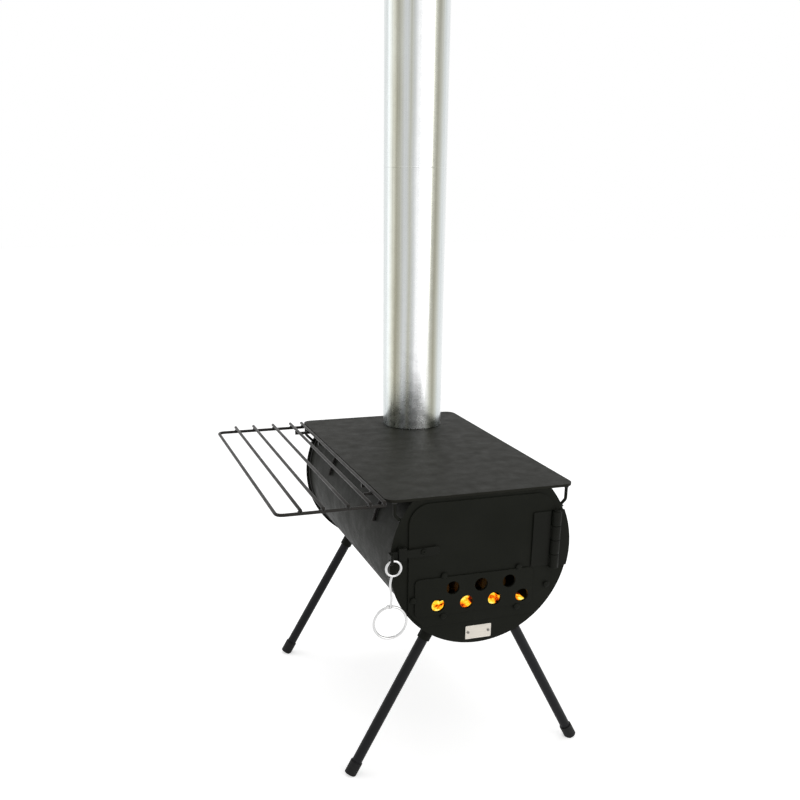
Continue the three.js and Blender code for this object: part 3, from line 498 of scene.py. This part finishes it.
def pipe_section(name, node, body, bead_r):
    low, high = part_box(node)
    shoulder = low.z * 1000 + 38
    top = high.z * 1000
    centre = Vector((flue.x, flue.y, 0))

    def crimped(a, r, z):
        depth = min(max((shoulder - 2 - z) / 8, 0), 1)
        return r - 0.55 * depth * (1 - math.cos(CRIMPS * a)) / 2

    outside = [(62.3, low.z * 1000), (62.4, low.z * 1000 + 1)]
    outside += [(62.4, low.z * 1000 + z) for z in (8, 16, 24, 30, 34, 36)]
    outside += [(62.4, shoulder), (63.2, shoulder + 0.02), (63.4, shoulder + 0.4), (63.5, shoulder + 0.8)]
    outside += [(bead_r, shoulder + 2.5)] + [(63.5, shoulder + z) for z in (4.2, 4.6, 6)]
    outside += [(63.5, shoulder + 5 + (top - shoulder - 12) * i / 8) for i in range(1, 9)]
    outside += [(63.5, top - 0.25), (63.35, top)]
    inside = [(62.9, top), (62.8, top - 0.3), (62.8, shoulder + 6)]
    inside += [(61.7, shoulder - 1), (61.7, low.z * 1000)]
    skin = turned(outside + inside + outside[:1], centre, 144, crimped)
    obj = piece(name, *skin, pipe_zinc, body, "galvanised")
    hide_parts(node)

    # The lock seam runs up the back: a flat fold standing a little out of the sheet
    turn = math.radians(76)
    verts = []
    for z in (shoulder + 7, top - 1):
        for width, out in ((-3.6, 62.9), (-3.2, 63.9), (2.8, 64.05), (3.2, 62.9)):
            a = turn + width / 63.5
            verts.append(centre + Vector((out * math.cos(a), out * math.sin(a), z)) / 1000)
    faces = [(0, 1, 5, 4), (1, 2, 6, 5), (2, 3, 7, 6), (3, 0, 4, 7), (0, 1, 2, 3), (4, 5, 6, 7)]
    piece(name + "_seam", verts, faces, pipe_zinc, body, "galvanised", smooth=False)


pipe_section("pipe_skin_lower", "lower_pipe", "pipe_lower", 63.5)
pipe_section("pipe_skin_upper", "upper_pipe", "pipe_upper", 64.0)

# ---------------------------------------------------------------- wire pull

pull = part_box("wire_pull")
lug_x = (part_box("latch_lever")[0].x - CENTRE_X) * 1000 + 2.4
hole_z = 11.4
pull_y = ((pull[0].y + pull[1].y) / 2 - FRONT_Y) * 1000


def ring(radius, x, z, wire, steps=72):
    points = []
    for i in range(steps):
        a = 2 * math.pi * i / steps
        points.append(at(x + radius * math.cos(a), pull_y, z + radius * math.sin(a)))
    return swept(points, wire / 1000, 16, True)


EYE_R = 13.55
EYE_ASIDE = 4.7
FINGER_RING_R = 30.2
eye_x = lug_x + EYE_ASIDE
eye_z = hole_z - math.sqrt(EYE_R**2 - EYE_ASIDE**2)
ring_x, ring_top = eye_x - 6.2, eye_z - 71.6
# The stem's bends, as (across, down) from the eye's middle
bends = [(-1.6, 12.6), (-3.4, 15.6), (-5.2, 22), (-6.2, 31), (-5.2, 43), (-4.1, 54), (-4.6, 63), (-6.2, 70.4)]
stem = []
for i in range(len(bends) - 1):
    p0, p1, p2, p3 = (Vector(bends[min(max(k, 0), len(bends) - 1)]) for k in (i - 1, i, i + 1, i + 2))
    for k in range(6):
        t = k / 6
        run = (p2 - p0) * t
        bow = (2 * p0 - 5 * p1 + 4 * p2 - p3) * t**2
        twist = (3 * p1 - p0 - 3 * p2 + p3) * t**3
        p = 0.5 * (2 * p1 + run + bow + twist)
        stem.append(at(eye_x + p.x, pull_y, eye_z - p.y))
stem.append(at(eye_x + bends[-1][0], pull_y, eye_z - bends[-1][1]))
wrap = []
for i in range(65):
    t = i / 64
    a = 2 * math.pi * 2.5 * t
    wrap.append(at(ring_x - 5.2 + 8.4 * t, pull_y + 2.5 * math.cos(a), ring_top + 2.5 * math.sin(a)))
wire = together(
    ring(EYE_R, eye_x, eye_z, 2.3),
    swept(stem, 0.0021, 16),
    swept(wrap, 0.0015, 10),
    ring(FINGER_RING_R, ring_x, ring_top - FINGER_RING_R, 2.4, 120),
)
pull_piece = piece("pull_wire", *wire, wire_zinc, "pull", "bright_wire")
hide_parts("wire_pull")

# ---------------------------------------------------------------- bolts and rivets


def domed(name, node, body, head_r, head_h, material, slot, shank_r, pit=0.35):
    """A round-headed bolt facing front, with a turned rim and a small pit in its middle."""
    low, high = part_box(node)
    front, back = low.y * 1000, high.y * 1000
    x, z = (low.x + high.x) / 2, (low.z + high.z) / 2
    face = front + head_h
    edge = 1.0 + pit / 2
    profile = [(0.0, front + pit), (edge - 0.4, front + 0.9 * pit), (edge, front)]
    for i in range(1, 9):
        a = math.pi / 2 * i / 8
        profile.append((edge + (head_r - edge) * math.sin(a), front + head_h * 0.75 * (1 - math.cos(a))))
    profile += [(head_r, face - 0.2), (head_r - 0.3, face)]
    profile += [(shank_r, face), (shank_r, back - 0.2), (0.0, back)]
    sides = 28
    verts, faces = [], []
    for r, y in profile:
        for k in range(sides):
            a = 2 * math.pi * k / sides
            verts.append(Vector((x + r / 1000 * math.cos(a), y / 1000, z + r / 1000 * math.sin(a))))
    for i in range(len(profile) - 1):
        for k in range(sides):
            a, b = i * sides, (i + 1) * sides
            faces.append((a + k, a + (k + 1) % sides, b + (k + 1) % sides, b + k))
    obj = piece(name, verts, faces, material, body, slot)
    bm = bmesh.new()
    bm.from_mesh(obj.data)
    bmesh.ops.remove_doubles(bm, verts=bm.verts, dist=1e-6)
    bm.to_mesh(obj.data)
    bm.free()
    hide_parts(node)


for where in ("upper_left", "upper_right", "lower_left", "lower_right"):
    domed(f"bolt_head_{where}", f"guide_bolt_{where}", "door", 5.8, 3.0, body_paint, "stove_paint", 3.0)
for where in ("left", "right"):
    domed(f"bolt_head_{where}", f"stop_bolt_{where}", "door", 5.8, 3.0, body_paint, "stove_paint", 3.0)
    rivet = f"nameplate_rivet_{where}"
    domed(f"rivet_head_{where}", rivet, "stove", 2.4, 1.1, rivet_metal, "badge_metal", 1.4)
domed("bolt_head_latch", "latch_bolt", "door", 5.0, 2.4, body_paint, "stove_paint", 3.0, 1.6)

# ---------------------------------------------------------------- nameplate, left blank

low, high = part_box("nameplate")


def badge_loop(inset, y, corner=2.0):
    points = []
    half_w = (high.x - low.x) * 500 - inset
    half_h = (high.z - low.z) * 500 - inset
    c = max(corner - inset * 0.4, 0.4)
    for sx, sz, start in ((1, 1, 0), (-1, 1, 90), (-1, -1, 180), (1, -1, 270)):
        for i in range(6):
            a = math.radians(start + 90 * i / 5)
            points.append(Vector((
                (low.x + high.x) / 2 + (sx * (half_w - c) + c * math.cos(a)) / 1000,
                y,
                (low.z + high.z) / 2 + (sz * (half_h - c) + c * math.sin(a)) / 1000,
            )))
    return points


badge_loops = [
    badge_loop(0, high.y), badge_loop(0, low.y + 0.00025), badge_loop(0.25, low.y), badge_loop(1.5, low.y),
    badge_loop(1.8, low.y + 0.0004), badge_loop(2.4, low.y + 0.0004),
]
verts, faces = [], []
for loop in badge_loops:
    verts += loop
ring_count = len(badge_loops[0])
for i in range(len(badge_loops) - 1):
    for k in range(ring_count):
        a, b = i * ring_count, (i + 1) * ring_count
        faces.append((a + k, a + (k + 1) % ring_count, b + (k + 1) % ring_count, b + k))
faces.append(tuple(range(ring_count)))
faces.append(tuple(range((len(badge_loops) - 1) * ring_count, len(badge_loops) * ring_count)))
badge = piece("badge_blank", verts, faces, badge_metal, "stove", "badge_metal")
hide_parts("nameplate")

# ---------------------------------------------------------------- welds

shoulder = math.degrees(math.asin(UNDER / BARREL_R))
ends = []
depth = (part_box("rear_end_plate")[0].y - FRONT_Y) * 1000
for y in (4.6, depth - 1.6):
    ends.append(bead(arc_points(BARREL_R + 1.0, 180 - shoulder, 360 + shoulder, 420, y), 1.7))
piece("weld_end_plates", *together(*ends), weld, "stove", "stove_paint")

LEG_SPLAY = 28.3
REAR_LEG_LEAN = 6.1
LEG_SETBACK = 42
SOCKET_R = 13.2
roots = []
for node in ("front_left", "front_right", "rear_left", "rear_right"):
    side = -1 if "left" in node else 1
    splay = math.radians(LEG_SPLAY)
    lean = math.tan(math.radians(REAR_LEG_LEAN)) if "rear" in node else 0
    down = Vector((side * math.sin(splay), math.cos(splay) * lean, -math.cos(splay))).normalized()
    y = LEG_SETBACK if "front" in node else (plate_high.y - FRONT_Y) * 1000 - LEG_SETBACK
    root = Vector((side * BARREL_R * math.sin(splay), y, -BARREL_R * math.cos(splay)))
    across = Vector((0, 1, 0)).cross(down).normalized()
    along = down.cross(across)
    loop = []
    for i in range(64):
        a = 2 * math.pi * i / 64
        p = root + (across * math.cos(a) + along * math.sin(a)) * SOCKET_R
        lift = (BARREL_R + 0.8 - math.hypot(p.x, p.z)) / abs(Vector((p.x, 0, p.z)).normalized().dot(down))
        p = p + down * lift
        loop.append(at(p.x, p.y, p.z))
    roots.append(bead(loop, 1.7, True))
piece("weld_leg_sockets", *together(*roots), weld, "stove", "stove_paint")

dabs = []
for end, hand in (("front", -1), ("front", 1), ("rear", -1), ("rear", 1)):
    low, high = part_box(f"corner_brace_{end}_{'left' if hand < 0 else 'right'}")
    y = ((low.y + high.y) / 2 - FRONT_Y) * 1000
    toe = ((low.x if hand > 0 else high.x) - CENTRE_X) * 1000
    top = ((high.x if hand > 0 else low.x) - CENTRE_X) * 1000 - hand * 3
    z = (low.z - AXIS_Z) * 1000
    dab = [at(toe + hand * (1.4 + i * 0.7), y - 2.2 + 0.2 * i, z + 1.4 - 0.3 * i) for i in range(7)]
    dabs.append(bead(dab, 1.6))
    loop = [at(top + 3.4 * math.cos(a), y + 3.4 * math.sin(a), UNDER - 1.0)
            for a in (2 * math.pi * i / 18 for i in range(18))]
    dabs.append(bead(loop, 1.0, True))
piece("weld_braces", *together(*dabs), weld, "stove", "stove_paint")

low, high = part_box("shelf_frame")
rod_top = (high.z - AXIS_Z) * 1000
half = (high.z - low.z) * 500
frame_ys = [(low.y - FRONT_Y) * 1000 + half, (high.y - FRONT_Y) * 1000 - half]
blobs = []
for i in range(1, 6):
    bar = middle(f"shelf_bar_{i}")
    crossings = list(frame_ys)
    for node in ("shelf_arm_front", "shelf_arm_rear", "shelf_hook_front", "shelf_hook_rear"):
        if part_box(node)[0].x < bar.x:
            crossings.append((middle(node).y - FRONT_Y) * 1000)
    for y in crossings:
        for side in (-1, 1):
            x = (bar.x - CENTRE_X) * 1000 + side * 0.8 * half
            blobs.append(bead([at(x, y - half + half / 3 * k, rod_top - 0.1) for k in range(7)], 1.7))
piece("weld_shelf", *together(*blobs), weld, "shelf", "leg_paint")

# ---------------------------------------------------------------- hinge leaves

pin = middle("hinge_pin")
pin_x = (pin.x - CENTRE_X) * 1000
fixed_low, fixed_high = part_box("frame_hinge_leaf")
door_leaf_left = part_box("door_hinge_leaf")[0].x
hinge_top = (fixed_high.z - AXIS_Z) * 1000
hinge_low = (fixed_low.z - AXIS_Z) * 1000
pitch = (hinge_top - hinge_low) / 4
door_front = (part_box("door_panel")[0].y - FRONT_Y) * 1000
KNUCKLE_R = 8.7
SEAM = 0.4


def knuckles(first):
    """Rolled knuckles with rounded ends, every second one from the top."""
    parts = []
    for i in range(first, 4, 2):
        top = hinge_top - i * pitch - SEAM
        low = hinge_top - (i + 1) * pitch + SEAM
        outside = [(KNUCKLE_R - out, low + up) for out, up in ((0.9, 0), (0.3, 0.3), (0, 1.0))]
        outside += [(KNUCKLE_R - out, top - down) for out, down in ((0, 1.0), (0.3, 0.3), (0.9, 0))]
        inside = [(5.3, top), (4.95, top - 0.3), (4.95, low + 0.3), (5.3, low)]
        parts.append(turned(outside + inside + outside[:1], Vector((pin.x, pin.y, AXIS_Z)), 48))
    return parts


def toothed(own_edge, room_edge, first):
    """The edge of a leaf's plate along its knuckles, from the top down."""
    points = []
    for i in range(4):
        edge = own_edge if i % 2 == first else room_edge
        points += [(edge, hinge_top - i * pitch), (edge, hinge_top - (i + 1) * pitch)]
    return points


def leaf(name, outline, y_front, y_back, first, body, node):
    verts = [at(x, y, z) for y in (y_front, y_back) for x, z in outline]
    n = len(outline)
    faces = [tuple(range(n)), tuple(range(n, 2 * n))]
    faces += [(i, (i + 1) % n, n + (i + 1) % n, n + i) for i in range(n)]
    obj = piece(name, *together((verts, faces), *knuckles(first)), hinge_paint, body, "stove_paint")
    soften = obj.modifiers.new("edges", "BEVEL")
    soften.width = 0.0004
    soften.segments = 2
    soften.limit_method = "ANGLE"
    soften.angle_limit = math.radians(60)
    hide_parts(node)


rim = (fixed_high.x - CENTRE_X) * 1000
heights = [hinge_low + (hinge_top - hinge_low) * k / 8 for k in range(9)]
fixed_outline = toothed(pin_x + 2.5, pin_x + 7.4, 0) + [(math.sqrt(rim**2 - z**2), z) for z in heights]
leaf("hinge_leaf_fixed", fixed_outline, -3.3, -0.35, 0, "stove", "frame_hinge_leaf")
leaf_left = (door_leaf_left - CENTRE_X) * 1000
leaf_bottom = hinge_low + 5.2
door_outline = toothed(pin_x - 6, pin_x - 9.3, 1)[:-1] + [(pin_x - 6, leaf_bottom)]
door_outline += [(leaf_left + 1.5, leaf_bottom), (leaf_left, leaf_bottom + 1.5)]
door_outline += [(leaf_left, hinge_top - 1.5), (leaf_left + 1.5, hinge_top)]
leaf("hinge_leaf_door", door_outline, door_front - 3.3, door_front - 0.3, 1, "door", "door_hinge_leaf")

# ---------------------------------------------------------------- shelf rods


def rod_path(corners, bend):
    """A path through corners, with the inner ones rounded."""
    points = [corners[0]]
    for before, corner, after in zip(corners, corners[1:], corners[2:]):
        back, ahead = (before - corner).normalized(), (after - corner).normalized()
        start, end = corner + back * bend, corner + ahead * bend
        for i in range(13):
            t = i / 12
            points.append(start * (1 - t) ** 2 + corner * 2 * t * (1 - t) + end * t**2)
    return points + [corners[-1]]


def sawn_rod(path, radius):
    """A rod whose two ends are slightly rounded over."""
    first, last = (path[1] - path[0]).normalized(), (path[-1] - path[-2]).normalized()
    full = [path[0], path[0] + first * 0.0002, path[0] + first * 0.0006] + path[1:-1]
    full += [path[-1] - last * 0.0006, path[-1] - last * 0.0002, path[-1]]
    last_i = len(full) - 1
    shrink = {0: 0.8, 1: 0.93, last_i - 1: 0.93, last_i: 0.8}
    return swept(full, radius, 18, False, lambda i: shrink.get(i, 1))


low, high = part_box("shelf_frame")
rod_r = (high.z - low.z) / 2
z = low.z + rod_r
outer_x, front_y, rear_y = low.x + rod_r, low.y + rod_r, high.y - rod_r
corners = ((high.x, front_y), (outer_x, front_y), (outer_x, rear_y), (high.x, rear_y))
frame_path = rod_path([Vector((x, y, z)) for x, y in corners], 0.014)
shelf_u = piece("shelf_rod_frame", *sawn_rod(frame_path, rod_r), rod_paint, "shelf", "leg_paint")
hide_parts("shelf_frame")
for i in range(1, 6):
    low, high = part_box(f"shelf_bar_{i}")
    x, z = (low.x + high.x) / 2, (low.z + high.z) / 2
    straight = [Vector((x, low.y + (high.y - low.y) * k / 6, z)) for k in range(7)]
    obj = piece(f"shelf_rod_{i}", *sawn_rod(straight, rod_r), rod_paint, "shelf", "leg_paint")
    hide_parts(f"shelf_bar_{i}")
for end in ("front", "rear"):
    low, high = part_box(f"shelf_arm_{end}")
    y, z = (low.y + high.y) / 2, (low.z + high.z) / 2
    straight = [Vector((low.x + (high.x - low.x) * k / 4, y, z)) for k in range(5)]
    obj = piece(f"shelf_rod_arm_{end}", *sawn_rod(straight, rod_r), rod_paint, "shelf", "leg_paint")
    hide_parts(f"shelf_arm_{end}")

# ---------------------------------------------------------------- fire on the grate

bed_top = (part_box("fire_grate")[1].z - AXIS_Z) * 1000
BED_LEFT, BED_RIGHT = -100, 112
BED_FRONT, BED_REAR = 13, 70
HEAP_LEFT, HEAP_RIGHT = 19, 9


def ember_bed():
    """A lumpy heap of embers behind the air holes, lower on the right and at its rims."""
    verts, faces = [], []
    columns, rows = 64, 30
    for j in range(rows + 1):
        for i in range(columns + 1):
            x = BED_LEFT + (BED_RIGHT - BED_LEFT) * i / columns
            y = BED_FRONT + (BED_REAR - BED_FRONT) * j / rows
            sides = min(4 * i / columns, 4 * (columns - i) / columns)
            rim = min(1.0, sides, 4 * j / rows + 0.25, 2 * (rows - j) / rows)
            lump = noise.noise(Vector((x * 0.06, y * 0.06, 3.1)))
            lump += 0.5 * noise.noise(Vector((x * 0.17, y * 0.17, 8)))
            heap = HEAP_LEFT - (HEAP_LEFT - HEAP_RIGHT) * min(max((x - 30) / 50, 0), 1)
            verts.append(at(x, y, bed_top + 1.0 + rim * heap * (1 + 0.75 * lump)))
    for j in range(rows):
        for i in range(columns):
            a = j * (columns + 1) + i
            faces.append((a, a + 1, a + columns + 2, a + columns + 1))
    under = len(verts)
    corners = [
        (BED_LEFT, BED_FRONT), (BED_RIGHT, BED_FRONT), (BED_RIGHT, BED_REAR), (BED_LEFT, BED_REAR)
    ]
    verts += [at(x, y, bed_top + 0.6) for x, y in corners]
    faces.append((under, under + 1, under + 2, under + 3))
    return verts, faces


piece("ember_bed", *ember_bed(), ember_glow, "stove", "grate_iron")


def log(x, y, z, length, radius, lean):
    points, count = [], 40
    for i in range(count + 1):
        t = i / count
        across = x + lean * t * length + 2 * math.sin(9 * t)
        points.append(at(across, y + length * t, z + 1.5 * math.sin(5 * t + x)))
    knots = [0.93 + 0.07 * math.sin(2.3 * i) * math.cos(0.7 * i + x) for i in range(count + 1)]
    return swept(points, radius / 1000, 20, False, lambda i: knots[i])


logs = together(log(-52, 78, bed_top + 27, 330, 25, 0.02), log(6, 84, bed_top + 25, 340, 23, -0.03),
                log(62, 76, bed_top + 28, 300, 26, 0.01), log(-20, 95, bed_top + 69, 310, 22, 0.08))
piece("fire_logs", *logs, log_char, "stove", "grate_iron")

# ---------------------------------------------------------------- floor, light and camera


def ground():
    size = 14.0
    mesh = bpy.data.meshes.new("studio_floor")
    corners = [(-size, -size, 0), (size, -size, 0), (size, size, 0), (-size, size, 0)]
    mesh.from_pydata(corners, [], [(0, 1, 2, 3)])
    obj = bpy.data.objects.new("studio_floor", mesh)
    bpy.context.scene.collection.objects.link(obj)
    mat = bpy.data.materials.new("pale floor")
    mat.use_nodes = True
    tree = mat.node_tree
    tree.nodes.clear()
    out = tree.nodes.new("ShaderNodeOutputMaterial")
    pale = tree.nodes.new("ShaderNodeBsdfDiffuse")
    pale.inputs["Color"].default_value = (0.86, 0.86, 0.86, 1)
    white = tree.nodes.new("ShaderNodeEmission")
    add = tree.nodes.new("ShaderNodeAddShader")
    path = tree.nodes.new("ShaderNodeLightPath")
    seen = tree.nodes.new("ShaderNodeMath")
    seen.operation = "MAXIMUM"
    tree.links.new(path.outputs["Is Camera Ray"], seen.inputs[0])
    tree.links.new(path.outputs["Is Glossy Ray"], seen.inputs[1])
    level = tree.nodes.new("ShaderNodeMath")
    level.operation = "MULTIPLY"
    level.inputs[1].default_value = 0.5
    tree.links.new(seen.outputs[0], level.inputs[0])
    tree.links.new(level.outputs[0], white.inputs["Strength"])
    tree.links.new(pale.outputs[0], add.inputs[0])
    tree.links.new(white.outputs[0], add.inputs[1])
    tree.links.new(add.outputs[0], out.inputs["Surface"])
    mesh.materials.append(mat)
    obj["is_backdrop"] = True


ground()


def surroundings():
    world = bpy.data.worlds.new("plain light")
    bpy.context.scene.world = world
    world.use_nodes = True
    tree = world.node_tree
    tree.nodes.clear()
    out = tree.nodes.new("ShaderNodeOutputWorld")
    light = tree.nodes.new("ShaderNodeBackground")
    light.inputs["Color"].default_value = (1.0, 1.0, 1.0, 1)
    light.inputs["Strength"].default_value = 0.62
    white = tree.nodes.new("ShaderNodeBackground")
    white.inputs["Color"].default_value = (1.0, 1.0, 1.0, 1)
    white.inputs["Strength"].default_value = 1.0
    mix = tree.nodes.new("ShaderNodeMixShader")
    path = tree.nodes.new("ShaderNodeLightPath")
    either = tree.nodes.new("ShaderNodeMath")
    either.operation = "MAXIMUM"
    either_too = tree.nodes.new("ShaderNodeMath")
    either_too.operation = "MAXIMUM"
    tree.links.new(path.outputs["Is Camera Ray"], either.inputs[0])
    tree.links.new(path.outputs["Is Glossy Ray"], either.inputs[1])
    tree.links.new(either.outputs[0], either_too.inputs[0])
    tree.links.new(path.outputs["Is Transmission Ray"], either_too.inputs[1])
    tree.links.new(either_too.outputs[0], mix.inputs["Fac"])
    tree.links.new(light.outputs[0], mix.inputs[1])
    tree.links.new(white.outputs[0], mix.inputs[2])
    tree.links.new(mix.outputs[0], out.inputs["Surface"])


surroundings()


def lamp(name, place, target, size, power, colour=(1, 1, 1)):
    data = bpy.data.lights.new(name, "AREA")
    data.shape = "RECTANGLE"
    data.size, data.size_y = size
    data.energy = power
    data.color = colour
    obj = bpy.data.objects.new(name, data)
    bpy.context.scene.collection.objects.link(obj)
    obj.location = place
    obj.rotation_euler = (Vector(target) - Vector(place)).to_track_quat("-Z", "Y").to_euler()


lamp("key_right", (1.4, -2.6, 1.4), (0, 0, 0.5), (2.2, 2.2), 26, (1.0, 0.99, 0.96))
lamp("fill_left", (-2.4, 1.4, 1.0), (0, 0, 0.5), (2.2, 2.2), 8)
lamp("top_soft", (0.2, 0.6, 3.4), (0, 0, 0.5), (2.0, 2.0), 22)

camera = bpy.data.cameras.new("camera")
camera.lens = 44.73
camera.sensor_width = 36
camera.shift_y = 0.2452
camera.clip_end = 60
eye = bpy.data.objects.new("camera", camera)
bpy.context.scene.collection.objects.link(eye)
turn = (
    Matrix.Rotation(math.radians(-18.966), 4, "Z")
    @ Matrix.Rotation(math.radians(66.827), 4, "X")
    @ Matrix.Rotation(math.radians(0.589), 4, "Z")
)
eye.matrix_world = Matrix.Translation(at(-678.9, -1529.5, PLATE_TOP + 514.3)) @ turn
bpy.context.scene.camera = eye
bpy.context.scene.view_settings.view_transform = "Standard"

low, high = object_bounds()
